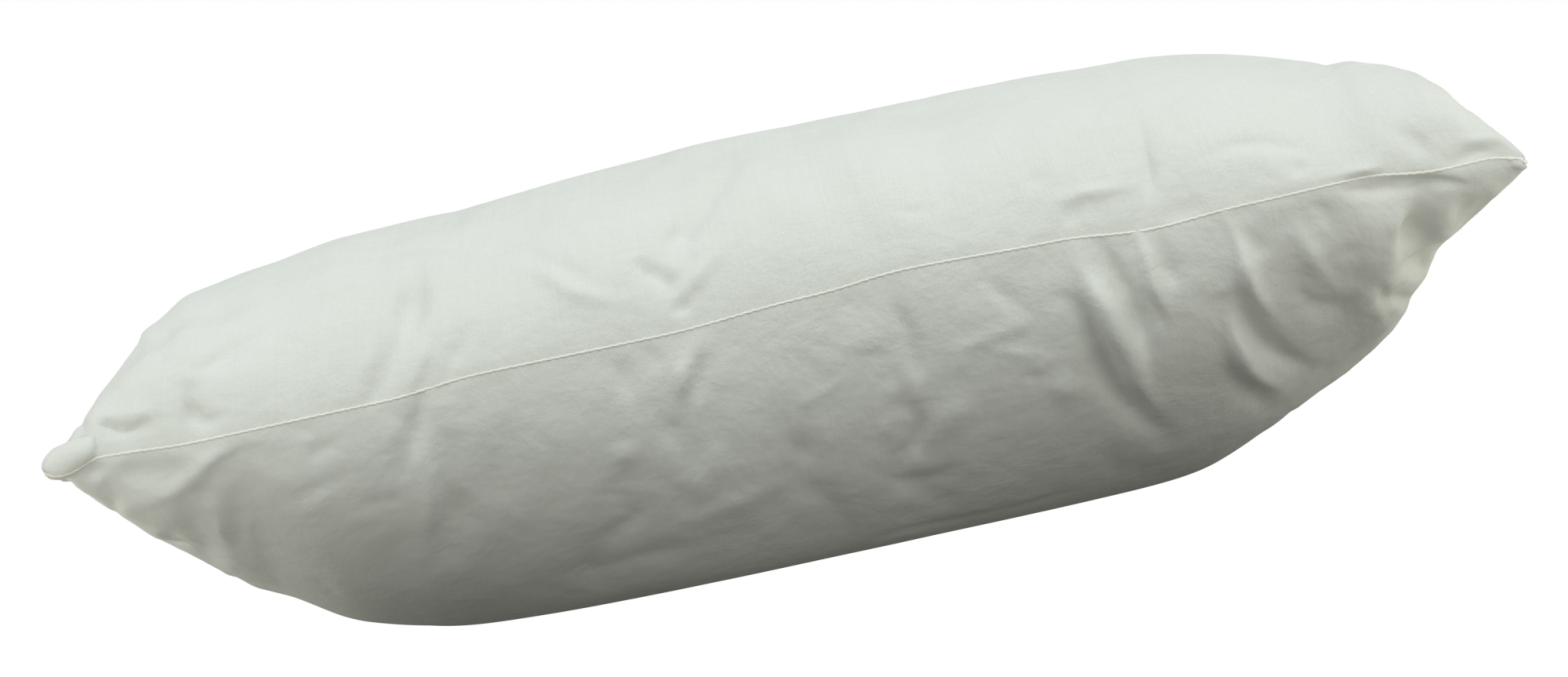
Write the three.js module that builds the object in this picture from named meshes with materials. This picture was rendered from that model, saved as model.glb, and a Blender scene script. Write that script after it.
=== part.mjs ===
// Filled cushion insert: two cotton panels cut 500 by 300 mm and sewn together all round.
// Millimetres. +X along the length, +Y away from the long side that is seen, +Z up.
// The origin is on the surface that the cushion lies on, under the middle of its box.

import * as THREE from 'three';

// Driving dimensions
const length = 484;          // from ear to ear, over the seam lip
const width = 282;
const endDraw = 22;          // how far the middle of each short side is drawn in from its ears
const sideDraw = 24;         // the same for the long sides
const endBow = 2.6;          // higher keeps the draw flat along the side and quick at the ears
const sideBow = 2.6;
const upperRise = 64;        // from the seam to the crown
const underDrop = 86;        // from the seam to where the underside would reach with no floor
const farSeamHeight = 66;
const baseBlend = 6;         // height over which the underside rounds on to its flat base
const lipReach = 1.8;        // the seam stands this far out of the panels
const lipHalfThickness = 0.8;
const seamCalm = 0.25;       // how much of a panel's upward direction is kept where it meets the seam

// How square the panels stand at the ends and across the cushion; 2 is an ellipse
const upperFullness = { left: 7, right: 6.4, across: 2.85 };
const underFullness = { left: 2.4, right: 2.35, across: 2.2 };

// Cells of the faceted skin along and across each panel
const cells = { along: 72, across: 34 };
const profileSteps = 2000;

// Height of the seam along the near long side
const nearSeam = [
  { x: -242, z: 80 },
  { x: -215, z: 82 },
  { x: -195, z: 80.7 },
  { x: -130, z: 80.8 },
  { x: -100, z: 83 },
  { x: -40, z: 82.8 },
  { x: 10, z: 85.3 },
  { x: 40, z: 87.4 },
  { x: 90, z: 86.2 },
  { x: 120, z: 83.6 },
  { x: 150, z: 85 },
  { x: 190, z: 85.6 },
  { x: 210, z: 82.9 },
  { x: 230, z: 83.3 },
  { x: 242, z: 79.5 },
];

// Each side of the cushion, with the two axes that its folds are drawn in and the way it faces
const faces = {
  near: { across: 'x', up: 'z', facing: new THREE.Vector3(0, -1, 0) },
  far: { across: 'x', up: 'z', facing: new THREE.Vector3(0, 1, 0) },
  crown: { across: 'x', up: 'y', facing: new THREE.Vector3(0, 0, 1) },
  base: { across: 'x', up: 'y', facing: new THREE.Vector3(0, 0, -1) },
  leftEnd: { across: 'y', up: 'z', facing: new THREE.Vector3(-1, 0, 0) },
  rightEnd: { across: 'y', up: 'z', facing: new THREE.Vector3(1, 0, 0) },
};
const facingFade = 0.3;      // a fold dies away where its side turns this near to edge on
const foldFade = 0.25;       // share of a fold's length over which each end dies away
const foldSteps = 12;

// Main folds and swellings. Each follows a curve from one point past another to a third, in the two
// axes of its side. Width is the half width in mm; depth is how far it sinks, or stands out below 0.
const folds = [
  // near side, left ear: a plump fold over the seam with a crease and a hollow beside it
  { side: 'near', from: [-243, 84], by: [-232, 89], to: [-217, 92], width: 7, depth: -3.2 },
  { side: 'near', from: [-226, 93], by: [-213, 93], to: [-194, 91], width: 6, depth: 3.4 },
  { side: 'near', from: [-226, 78], by: [-211, 72], to: [-196, 79], width: 8, depth: 2.8 },
  { side: 'near', from: [-234, 76], by: [-216, 60], to: [-192, 69], width: 7, depth: -3 },
  { side: 'near', from: [-202, 66], by: [-189, 75], to: [-168, 92], width: 7, depth: -3 },
  { side: 'near', from: [-224, 68], by: [-204, 46], to: [-176, 26], width: 10, depth: -2.4 },
  { side: 'near', from: [-214, 100], by: [-200, 122], to: [-168, 134], width: 12, depth: -2.4 },
  { side: 'near', from: [-194, 103], by: [-172, 109], to: [-138, 118], width: 7, depth: 2.2 },
  { side: 'near', from: [-210, 61], by: [-196, 58], to: [-178, 65], width: 7, depth: 1.8 },
  { side: 'near', from: [-188, 66], by: [-190, 50], to: [-187, 30], width: 7, depth: 1.8 },
  { side: 'near', from: [-236, 90], by: [-224, 97], to: [-212, 106], width: 9, depth: 2.6 },
  // near side, fold that crosses the seam left of the middle
  { side: 'near', from: [-119, 124], by: [-129, 103], to: [-139, 76], width: 7, depth: -2.4 },
  { side: 'near', from: [-112, 122], by: [-121, 98], to: [-127, 76], width: 6, depth: 2.8 },
  { side: 'near', from: [-116, 90], by: [-123, 68], to: [-134, 32], width: 7, depth: 2.8 },
  { side: 'near', from: [-122, 88], by: [-132, 66], to: [-140, 44], width: 7, depth: -2 },
  { side: 'near', from: [-122, 133], by: [-86, 131], to: [-42, 98], width: 9, depth: 2.2 },
  { side: 'near', from: [-88, 112], by: [-64, 104], to: [-40, 93], width: 8, depth: -1.8 },
  // near side, strong fold close to the middle
  { side: 'near', from: [4, 136], by: [-22, 125], to: [-39, 90], width: 8, depth: 3.8 },
  { side: 'near', from: [-8, 116], by: [-25, 103], to: [-36, 90], width: 7, depth: -2.2 },
  { side: 'near', from: [-26, 92], by: [-37, 76], to: [-42, 54], width: 7, depth: -3.6 },
  { side: 'near', from: [-22, 82], by: [-33, 70], to: [-33, 46], width: 6, depth: 3.4 },
  { side: 'near', from: [-72, 55], by: [-58, 50], to: [-46, 46], width: 8, depth: -1.8 },
  { side: 'near', from: [-58, 17], by: [-43, 29], to: [-26, 43], width: 10, depth: -2 },
  { side: 'near', from: [32, 88], by: [41, 70], to: [38, 44], width: 7, depth: 2.6 },
  { side: 'near', from: [39, 56], by: [27, 46], to: [33, 30], width: 7, depth: 2 },
  // near side, great ridge right of the middle with the troughs beside it
  { side: 'near', from: [88, 94], by: [105, 68], to: [104, 44], width: 7, depth: -4.2 },
  { side: 'near', from: [103, 54], by: [104, 34], to: [123, 24], width: 7, depth: -3.6 },
  { side: 'near', from: [103, 94], by: [108, 76], to: [113, 50], width: 8, depth: 4 },
  { side: 'near', from: [90, 56], by: [101, 30], to: [130, 13], width: 8, depth: 3 },
  { side: 'near', from: [119, 107], by: [117, 76], to: [125, 46], width: 6, depth: -2.8 },
  { side: 'near', from: [78, 73], by: [93, 67], to: [99, 54], width: 7, depth: 2.4 },
  { side: 'near', from: [124, 126], by: [128, 106], to: [121, 88], width: 6, depth: 2 },
  { side: 'near', from: [56, 63], by: [74, 66], to: [94, 66], width: 6, depth: -1.6 },
  // near side, right part
  { side: 'near', from: [146, 88], by: [150, 66], to: [160, 41], width: 6, depth: -2.8 },
  { side: 'near', from: [143, 68], by: [149, 40], to: [182, 26], width: 7, depth: 4 },
  { side: 'near', from: [140, 60], by: [145, 36], to: [168, 17], width: 7, depth: -3 },
  { side: 'near', from: [163, 84], by: [171, 66], to: [178, 51], width: 7, depth: -2.4 },
  { side: 'near', from: [160, 57], by: [172, 45], to: [188, 50], width: 7, depth: 2.6 },
  { side: 'near', from: [146, 106], by: [164, 104], to: [182, 95], width: 7, depth: -2 },
  // near side, right ear: the lower panel tucks in under the seam and behind the ear
  { side: 'near', from: [178, 83], by: [204, 84], to: [226, 77], width: 5, depth: 4.5 },
  { side: 'near', from: [186, 52], by: [200, 54], to: [219, 59], width: 7, depth: 4 },
  { side: 'near', from: [209, 80], by: [203, 66], to: [197, 52], width: 7, depth: 3.4 },
  { side: 'near', from: [180, 43], by: [191, 46], to: [204, 46], width: 5, depth: 2.4 },
  { side: 'near', from: [176, 36], by: [188, 44], to: [200, 56], width: 8, depth: -3 },
  { side: 'near', from: [214, 66], by: [226, 74], to: [241, 77], width: 7, depth: -2.4 },
  { side: 'near', from: [166, 140], by: [210, 128], to: [234, 92], width: 14, depth: -4.5 },
  // far side
  { side: 'far', from: [-176, 110], by: [-166, 70], to: [-178, 28], width: 8, depth: 3 },
  { side: 'far', from: [-162, 100], by: [-154, 66], to: [-160, 36], width: 8, depth: -2.4 },
  { side: 'far', from: [-96, 112], by: [-108, 72], to: [-98, 30], width: 8, depth: 2.8 },
  { side: 'far', from: [-84, 100], by: [-94, 64], to: [-80, 40], width: 8, depth: -2.2 },
  { side: 'far', from: [-26, 104], by: [-14, 66], to: [-34, 34], width: 8, depth: 2.6 },
  { side: 'far', from: [50, 116], by: [34, 74], to: [52, 32], width: 8, depth: 3.2 },
  { side: 'far', from: [62, 96], by: [48, 64], to: [64, 40], width: 8, depth: -2.6 },
  { side: 'far', from: [112, 104], by: [124, 66], to: [108, 26], width: 8, depth: 3 },
  { side: 'far', from: [176, 98], by: [164, 64], to: [182, 32], width: 8, depth: 3.2 },
  { side: 'far', from: [188, 90], by: [178, 62], to: [194, 40], width: 7, depth: -2.6 },
  { side: 'far', from: [-236, 70], by: [-212, 82], to: [-184, 78], width: 7, depth: 3 },
  { side: 'far', from: [236, 66], by: [214, 56], to: [188, 58], width: 7, depth: 3 },
  // crown: folds that run in from the ears, and the soft lumps of the filling
  { side: 'crown', from: [-226, -122], by: [-190, -98], to: [-158, -92], width: 9, depth: 2.6 },
  { side: 'crown', from: [-224, 122], by: [-188, 92], to: [-150, 84], width: 9, depth: 3 },
  { side: 'crown', from: [-212, 96], by: [-186, 66], to: [-166, 60], width: 9, depth: -2.2 },
  { side: 'crown', from: [226, 122], by: [186, 94], to: [148, 88], width: 9, depth: 3 },
  { side: 'crown', from: [206, 88], by: [184, 72], to: [158, 70], width: 9, depth: -2.2 },
  { side: 'crown', from: [-122, -76], by: [-112, 0], to: [-124, 74], width: 18, depth: 2.4 },
  { side: 'crown', from: [-104, -8], by: [-30, 6], to: [44, -6], width: 44, depth: -3 },
  { side: 'crown', from: [70, -4], by: [108, 4], to: [150, -4], width: 34, depth: -2.4 },
  { side: 'crown', from: [-60, 40], by: [0, 16], to: [70, 48], width: 18, depth: -1.6 },
  { side: 'crown', from: [162, -78], by: [172, 0], to: [160, 80], width: 16, depth: 3 },
  { side: 'crown', from: [20, 96], by: [46, 70], to: [96, 74], width: 10, depth: 2 },
  // underside, outside its flat base
  { side: 'base', from: [-222, -120], by: [-182, -96], to: [-140, -84], width: 9, depth: 2.8 },
  { side: 'base', from: [-222, 120], by: [-184, 90], to: [-146, 74], width: 9, depth: 2.8 },
  { side: 'base', from: [222, 120], by: [184, 92], to: [142, 80], width: 9, depth: 2.8 },
  { side: 'base', from: [222, -120], by: [190, -84], to: [150, -70], width: 9, depth: 2.4 },
  // ends
  { side: 'leftEnd', from: [-92, 112], by: [-84, 76], to: [-96, 40], width: 8, depth: 2.6 },
  { side: 'leftEnd', from: [-42, 118], by: [-28, 74], to: [-44, 32], width: 8, depth: 3 },
  { side: 'leftEnd', from: [-26, 100], by: [-14, 72], to: [-28, 44], width: 8, depth: -2.2 },
  { side: 'leftEnd', from: [34, 114], by: [24, 70], to: [40, 30], width: 8, depth: 3 },
  { side: 'leftEnd', from: [88, 100], by: [96, 66], to: [84, 34], width: 8, depth: 2.6 },
  { side: 'rightEnd', from: [-88, 108], by: [-96, 72], to: [-84, 38], width: 8, depth: 3 },
  { side: 'rightEnd', from: [-34, 120], by: [-46, 72], to: [-30, 34], width: 8, depth: 2.6 },
  { side: 'rightEnd', from: [14, 112], by: [26, 68], to: [12, 36], width: 8, depth: 3 },
  { side: 'rightEnd', from: [28, 98], by: [40, 66], to: [28, 42], width: 8, depth: -2.4 },
  { side: 'rightEnd', from: [78, 104], by: [66, 66], to: [82, 34], width: 8, depth: 2.8 },
];

const smooth = (t) => THREE.MathUtils.smoothstep(t, 0, 1);

// Quarter of a rounded-square arch, in steps of equal length: how far out, and how high, from 1 to 0
function arch(fullness, reach, rise, steps) {
  const points = [];
  for (let i = 0; i <= profileSteps; i++) {
    const angle = (i / profileSteps) * Math.PI / 2;
    points.push({ out: Math.sin(angle) ** (2 / fullness), up: Math.cos(angle), run: 0 });
  }
  for (let i = 1; i <= profileSteps; i++) {
    const dOut = (points[i].out - points[i - 1].out) * reach;
    const dUp = (points[i].up - points[i - 1].up) * rise;
    points[i].run = points[i - 1].run + Math.hypot(dOut, dUp);
  }
  const whole = points[profileSteps].run;
  const even = [];
  let at = 0;
  for (let k = 0; k <= steps; k++) {
    const wanted = (whole * k) / steps;
    while (at < profileSteps - 1 && points[at + 1].run < wanted) at++;
    const a = points[at];
    const b = points[at + 1];
    const t = (wanted - a.run) / (b.run - a.run);
    even.push({ out: a.out + (b.out - a.out) * t, up: a.up + (b.up - a.up) * t });
  }
  even[0] = { out: 0, up: 1 };
  even[steps] = { out: 1, up: 0 };
  return even;
}

// Both quarters of an arch, from one edge of the panel over the crown to the other
function wholeArch(lowFullness, highFullness, reach, rise, steps) {
  const low = arch(lowFullness, reach, rise, steps / 2).map((p) => ({ out: -p.out, up: p.up }));
  const high = arch(highFullness, reach, rise, steps / 2);
  return [...low.reverse(), ...high.slice(1)];
}

function nearSeamHeight(x) {
  const next = nearSeam.findIndex((row) => row.x > x);
  if (next === -1) return nearSeam[nearSeam.length - 1].z;
  if (next === 0) return nearSeam[0].z;
  const a = nearSeam[next - 1];
  const b = nearSeam[next];
  return THREE.MathUtils.lerp(a.z, b.z, smooth((x - a.x) / (b.x - a.x)));
}

// The underside is pressed flat where it would go below the floor
function settle(z) {
  if (z > baseBlend) return z;
  if (z < -baseBlend) return 0;
  return (z + baseBlend) ** 2 / (4 * baseBlend);
}

// A grid of points over one panel; up is 1 for the upper panel and -1 for the under one
function panelGrid(fullness, rise, up) {
  const earX = length / 2 - lipReach;
  const earY = width / 2 - lipReach;
  const along = wholeArch(fullness.left, fullness.right, earX, rise, cells.along);
  const across = wholeArch(fullness.across, fullness.across, earY, rise, cells.across);
  return along.map((u) => across.map((v) => {
    const x = u.out * (earX - endDraw * (1 - Math.abs(v.out) ** endBow));
    const y = v.out * (earY - sideDraw * (1 - Math.abs(u.out) ** sideBow));
    const seamHeight = THREE.MathUtils.lerp(nearSeamHeight(x), farSeamHeight, (1 + v.out) / 2);
    return new THREE.Vector3(x, y, seamHeight + up * rise * u.up * v.up);
  }));
}

// Outward direction at every point of a panel, from its neighbours
function panelNormals(grid, up) {
  const last = { i: grid.length - 1, j: grid[0].length - 1 };
  return grid.map((row, i) => row.map((_, j) => {
    const alongStep = grid[Math.min(i + 1, last.i)][j].clone().sub(grid[Math.max(i - 1, 0)][j]);
    const acrossStep = row[Math.min(j + 1, last.j)].clone().sub(row[Math.max(j - 1, 0)]);
    return alongStep.cross(acrossStep).multiplyScalar(up).normalize();
  }));
}

// Points along the seam, once round, as places in a panel's grid
function seamLoop() {
  const { along, across } = cells;
  const loop = [];
  for (let i = 0; i < along; i++) loop.push([i, 0]);
  for (let j = 0; j < across; j++) loop.push([along, j]);
  for (let i = along; i > 0; i--) loop.push([i, across]);
  for (let j = across; j > 0; j--) loop.push([0, j]);
  return loop;
}

// The panels share one outward direction where they meet, nearly level
function joinNormals(upper, under, loop) {
  for (const [i, j] of loop) {
    const shared = upper[i][j].clone().add(under[i][j]);
    shared.z *= seamCalm;
    shared.normalize();
    upper[i][j] = shared;
    under[i][j] = shared.clone();
  }
}

function foldCurve(fold) {
  const start = new THREE.Vector2(...fold.from);
  const middle = new THREE.Vector2(...fold.by);
  const end = new THREE.Vector2(...fold.to);
  return new THREE.QuadraticBezierCurve(start, middle, end).getPoints(foldSteps);
}

// How deep one fold is at a place on its side
function foldDepth(fold, place) {
  let nearest = Infinity;
  let share = 0;
  for (let k = 0; k < foldSteps; k++) {
    const a = fold.curve[k];
    const step = fold.curve[k + 1].clone().sub(a);
    const offset = place.clone().sub(a);
    const t = THREE.MathUtils.clamp(offset.dot(step) / step.lengthSq(), 0, 1);
    const distance = offset.addScaledVector(step, -t).length();
    if (distance < nearest) {
      nearest = distance;
      share = (k + t) / foldSteps;
    }
  }
  const ends = smooth(Math.min(share, 1 - share) / foldFade);
  return fold.depth * ends * Math.exp(-((nearest / fold.width) ** 2));
}

// Sinks or raises a point along its outward direction by all folds on the sides that it faces
function foldedPoint(point, normal, curves) {
  let depth = 0;
  for (const fold of curves) {
    const face = faces[fold.side];
    const facing = smooth(normal.dot(face.facing) / facingFade);
    if (facing > 0) depth += facing * foldDepth(fold, new THREE.Vector2(point[face.across], point[face.up]));
  }
  const moved = point.clone().addScaledVector(normal, -depth);
  moved.z = settle(moved.z);
  return moved;
}

// The filled body: upper panel, under panel, and the seam lip that stands out between them
function cushionGeometry() {
  const upper = panelGrid(upperFullness, upperRise, 1);
  const under = panelGrid(underFullness, underDrop, -1);
  const upperNormals = panelNormals(upper, 1);
  const underNormals = panelNormals(under, -1);
  const loop = seamLoop();
  joinNormals(upperNormals, underNormals, loop);
  const curves = folds.map((fold) => ({ ...fold, curve: foldCurve(fold) }));

  const points = [];
  const addPoint = (p) => points.push(p) - 1;
  const addPanel = (grid, normals) => grid.map((row, i) => row.map((p, j) => (
    addPoint(foldedPoint(p, normals[i][j], curves)))));
  const upperIds = addPanel(upper, upperNormals);
  const underIds = addPanel(under, underNormals);

  // the lip: both panels part by its thickness, and its crest stands outside them
  const seamPoints = loop.map(([i, j]) => points[upperIds[i][j]].clone());
  const crestIds = seamPoints.map((p, k) => {
    const before = seamPoints[(k + loop.length - 1) % loop.length];
    const after = seamPoints[(k + 1) % loop.length];
    const outward = new THREE.Vector3(after.y - before.y, before.x - after.x, 0).normalize();
    return addPoint(p.clone().addScaledVector(outward, lipReach));
  });
  loop.forEach(([i, j]) => {
    points[upperIds[i][j]].z += lipHalfThickness;
    points[underIds[i][j]].z -= lipHalfThickness;
  });

  const triangles = [];
  const addCell = (a, b, c, d) => triangles.push(a, b, c, a, c, d);
  for (let i = 0; i < cells.along; i++) {
    for (let j = 0; j < cells.across; j++) {
      addCell(upperIds[i][j], upperIds[i + 1][j], upperIds[i + 1][j + 1], upperIds[i][j + 1]);
      addCell(underIds[i][j], underIds[i][j + 1], underIds[i + 1][j + 1], underIds[i + 1][j]);
    }
  }
  loop.forEach(([i, j], k) => {
    const next = (k + 1) % loop.length;
    const [iNext, jNext] = loop[next];
    addCell(upperIds[i][j], crestIds[k], crestIds[next], upperIds[iNext][jNext]);
    addCell(crestIds[k], underIds[i][j], underIds[iNext][jNext], crestIds[next]);
  });

  const geometry = new THREE.BufferGeometry();
  geometry.setAttribute('position', new THREE.Float32BufferAttribute(points.flatMap((p) => p.toArray()), 3));
  geometry.setIndex(triangles);
  geometry.computeVertexNormals();
  return geometry;
}

const cotton = new THREE.MeshStandardMaterial({ color: 0xe3e7df, roughness: 0.85, metalness: 0 });

const cushion = new THREE.Mesh(cushionGeometry(), cotton);
cushion.name = 'cushion_body';

const insert = new THREE.Group();
insert.add(cushion);

export default insert;
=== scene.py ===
from math import cos, pi, radians, sin

import bpy
import numpy as np
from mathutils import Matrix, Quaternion, Vector


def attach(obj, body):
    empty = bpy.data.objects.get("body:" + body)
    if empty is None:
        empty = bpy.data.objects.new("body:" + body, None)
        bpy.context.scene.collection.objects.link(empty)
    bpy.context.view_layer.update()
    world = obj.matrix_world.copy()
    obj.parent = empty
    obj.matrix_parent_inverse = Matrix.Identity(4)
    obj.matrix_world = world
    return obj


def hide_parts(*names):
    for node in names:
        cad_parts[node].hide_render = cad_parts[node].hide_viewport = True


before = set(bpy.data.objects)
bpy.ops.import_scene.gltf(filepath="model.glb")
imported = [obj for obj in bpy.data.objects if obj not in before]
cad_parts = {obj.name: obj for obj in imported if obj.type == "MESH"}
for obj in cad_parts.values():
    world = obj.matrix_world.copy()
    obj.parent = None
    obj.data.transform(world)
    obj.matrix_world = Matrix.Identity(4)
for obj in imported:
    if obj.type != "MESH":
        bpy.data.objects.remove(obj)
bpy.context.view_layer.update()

# A filled cushion insert: two cotton panels sewn together all round.
# Shapes are worked out in millimetres, in the frame of the CAD part, and become metres in the mesh.


# From 0 to 1, slow at both ends
def smoothStep(t):
    t = np.clip(t, 0, 1)
    return t * t * (3 - 2 * t)


def deselectAll():
    if bpy.context.object and bpy.context.object.mode != 'OBJECT':
        bpy.ops.object.mode_set(mode='OBJECT')
    bpy.ops.object.select_all(action='DESELECT')


def pickOnly(*pieces):
    deselectAll()
    for piece in pieces:
        piece.select_set(True)
    bpy.context.view_layer.objects.active = pieces[0]


def applyModifier(piece, modifier):
    pickOnly(piece)
    bpy.ops.object.modifier_apply(modifier=modifier.name)


def readPoints(mesh):
    flat = np.empty(len(mesh.vertices) * 3)
    mesh.vertices.foreach_get('co', flat)
    return flat.reshape(-1, 3) * 1000


def writePoints(mesh, points):
    mesh.vertices.foreach_set('co', (points / 1000).ravel())
    mesh.update()


def readNormals(mesh):
    flat = np.empty(len(mesh.vertices) * 3)
    mesh.vertex_normals.foreach_get('vector', flat)
    return flat.reshape(-1, 3)


def edgePairs(mesh):
    pairs = np.empty(len(mesh.edges) * 2, int)
    mesh.edges.foreach_get('vertices', pairs)
    return pairs.reshape(-1, 2)


# The edges where the panels are sewn together
def sewnPairs(mesh):
    sewn = np.empty(len(mesh.edges), bool)
    mesh.edges.foreach_get('use_seam', sewn)
    return edgePairs(mesh)[sewn]


def rimVertices(mesh):
    return np.unique(sewnPairs(mesh))


mergeDistance = 0.00002      # m


def closeSeams():
    bpy.ops.object.mode_set(mode='EDIT')
    bpy.ops.mesh.select_all(action='SELECT')
    bpy.ops.mesh.remove_doubles(threshold=mergeDistance)
    bpy.ops.mesh.normals_make_consistent(inside=False)
    bpy.ops.object.mode_set(mode='OBJECT')


# The filled form

filledForm = {
    'cutLength': 500,        # flat size of each panel
    'cutWidth': 300,
    'halfLength': 241,       # from the middle to an ear
    'halfWidth': 140.4,
    'endDraw': 22,           # how far the sides are drawn in between the ears
    'sideDraw': 24,
    'bow': 2.6,
    # height of each panel's crown over the seam, and how square its arch is at either end and across
    'upper': {'rise': 64, 'left': 7, 'right': 6.4, 'across': 2.85},
    'under': {'rise': 86, 'left': 2.4, 'right': 2.35, 'across': 2.35},
    'farSeamHeight': 66,
    'baseBlend': 6,          # height over which the underside turns into its flat base
    'alongCells': 132,       # cells of the cloth that is simulated
    'acrossCells': 76,
}

# The finished cloth is finer, most of all on the near side, where the photograph shows its folds
fineCloth = {
    'alongCells': 420,
    'acrossCells': [0, 62, 76, 108],     # cells from the near seam to the far one
    'atSimulated': [0, 23, 38, 76],      # the simulated cells that these lie on
}

# Place along the cushion and height of the seam on the near long side, in mm
nearSeam = [(-242, 80), (-215, 82), (-195, 80.7), (-130, 80.8), (-100, 83), (-40, 82.8), (10, 85.3),
            (40, 87.4), (90, 86.2), (120, 83.6), (150, 85), (190, 85.6), (210, 82.9), (230, 83.3),
            (242, 79.5)]


def nearSeamHeight(x):
    xs, zs = np.array(nearSeam, float).T
    k = np.clip(np.searchsorted(xs, x) - 1, 0, len(xs) - 2)
    t = smoothStep((x - xs[k]) / (xs[k + 1] - xs[k]))
    return zs[k] + (zs[k + 1] - zs[k]) * t


# Rounded-square quarter arch in steps of equal length along the cloth
def arch(fullness, reach, rise, steps, samples=2001):
    angle = np.linspace(0, pi / 2, samples)
    out = np.sin(angle) ** (2 / fullness)
    up = np.cos(angle)
    run = np.concatenate([[0], np.cumsum(np.hypot(np.diff(out * reach), np.diff(up * rise)))])
    even = np.linspace(0, run[-1], steps + 1)
    return np.interp(even, run, out), np.interp(even, run, up)


def wholeArch(low, high, reach, rise, steps):
    lowOut, lowUp = arch(low, reach, rise, steps // 2)
    highOut, highUp = arch(high, reach, rise, steps // 2)
    return np.concatenate([-lowOut[::-1], highOut[1:]]), np.concatenate([lowUp[::-1], highUp[1:]])


# Rounds the lowest part of the underside into a flat base
def settle(z):
    k = filledForm['baseBlend']
    return np.where(z > k, z, np.where(z < -k, 0, (z + k) ** 2 / (4 * k)))


# Place along the cushion, and how much the crown and the underside leave the plain arch there, in mm
crownTrim = [(-242, 0), (-229, -1), (-225, -3.4), (-220, -0.6), (-214, -3), (-210, -0.8), (-204, 2),
             (-198, 0), (-190, 1.8), (-180, -1.6), (-160, -3.4), (-140, -2), (-100, -5.2), (-60, -1.9),
             (-20, -0.5), (20, -2.6), (60, -3.8), (100, -2), (130, -0.7), (160, -3.3), (172, -5.4),
             (182, -6.4), (190, -5.3), (198, -1), (206, 3), (215, 6.2), (221, 6), (226, 2.6), (230, 2.2),
             (234, -0.8), (238, 0.4)]
underTrim = [(-240, 0), (-233, 7), (-230, 2), (-225, -1.4), (-221, 1.6), (-216, -2.4), (-210, -2.6),
             (-204, -1.6), (-199, 2.4), (-190, 1), (-180, 4.6), (-160, 0), (-140, 1), (-100, -0.6),
             (-60, -3), (-20, -4), (60, -5), (100, -4.4), (130, -1.8), (148, 0.6), (160, 4), (170, 4),
             (180, 2), (190, -3), (197, 0.4), (205, 5), (211, 3), (218, 2.2), (225, -0.6), (231, -2.4),
             (236, -5), (240, -3)]
trimFade = 12                # the trim grows from nothing at the seam to full this far from it


def trimmed(x, z, seamHeight, trim):
    share = smoothStep(np.abs(z - seamHeight) / trimFade)
    places, lift = np.array(trim, float).T
    return z + share * np.interp(x, places, lift)


# Where the points of one panel go when the cushion is filled; side is 1 for the upper one, -1 for the other
def filledPanel(panel, side):
    form = filledForm
    rise = panel['rise']
    alongOut, alongUp = wholeArch(panel['left'], panel['right'], form['halfLength'], rise, form['alongCells'])
    across = panel['across']
    acrossOut, acrossUp = wholeArch(across, across, form['halfWidth'], rise, form['acrossCells'])
    u = alongOut[:, None]
    v = acrossOut[None, :]
    x = u * (form['halfLength'] - form['endDraw'] * (1 - np.abs(v) ** form['bow']))
    y = v * (form['halfWidth'] - form['sideDraw'] * (1 - np.abs(u) ** form['bow']))
    seamHeight = nearSeamHeight(x) * (1 - v) / 2 + form['farSeamHeight'] * (1 + v) / 2
    z = seamHeight + side * rise * alongUp[:, None] * acrossUp[None, :]
    z = trimmed(x, z, seamHeight, crownTrim if side > 0 else underTrim)
    return np.stack([x, y, settle(z)], -1)


def filledPanels():
    upper = filledPanel(filledForm['upper'], 1)
    under = filledPanel(filledForm['under'], -1)
    for edge in (np.s_[0, :], np.s_[-1, :], np.s_[:, 0], np.s_[:, -1]):
        shared = (upper[edge] + under[edge]) / 2
        upper[edge] = shared
        under[edge] = shared
    return upper, under


# One panel; acrossShare says how far across the cloth each of its rows lies, from 0 to 1
def cutPanel(name, places, acrossShare, firstOrder):
    alongCells = places.shape[0] - 1
    acrossCells = places.shape[1] - 1
    deselectAll()
    bpy.ops.mesh.primitive_grid_add(x_subdivisions=alongCells, y_subdivisions=acrossCells, size=1)
    cloth = bpy.context.object
    cloth.name = name
    bpy.ops.object.mode_set(mode='EDIT')
    bpy.ops.mesh.select_all(action='DESELECT')
    bpy.ops.mesh.select_non_manifold()
    bpy.ops.mesh.mark_seam()             # the cut edge, found again after the filling
    bpy.ops.object.mode_set(mode='OBJECT')
    flat = readPoints(cloth.data) / 1000 + 0.5
    i = np.rint(flat[:, 0] * alongCells).astype(int)
    j = np.rint(flat[:, 1] * acrossCells).astype(int)
    writePoints(cloth.data, places[i, j])
    corners = np.empty(len(cloth.data.loops), int)
    cloth.data.loops.foreach_get('vertex_index', corners)
    flatPlaces = np.stack([i / alongCells, acrossShare[j]], -1)
    cloth.data.uv_layers.active.data.foreach_set('uv', flatPlaces[corners].ravel())
    order = cloth.data.attributes.new('clothOrder', 'INT', 'POINT')
    order.data.foreach_set('value', (firstOrder + i * (acrossCells + 1) + j).astype(np.int32))
    return cloth


def sewPanels(name, upperPlaces, underPlaces, acrossShare):
    upper = cutPanel('upperPanel', upperPlaces, acrossShare, 0)
    under = cutPanel('underPanel', underPlaces, acrossShare, upperPlaces.shape[0] * upperPlaces.shape[1])
    pickOnly(upper, under)
    bpy.ops.object.join()
    closeSeams()
    upper.name = name
    upper.data.name = name
    return upper


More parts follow.
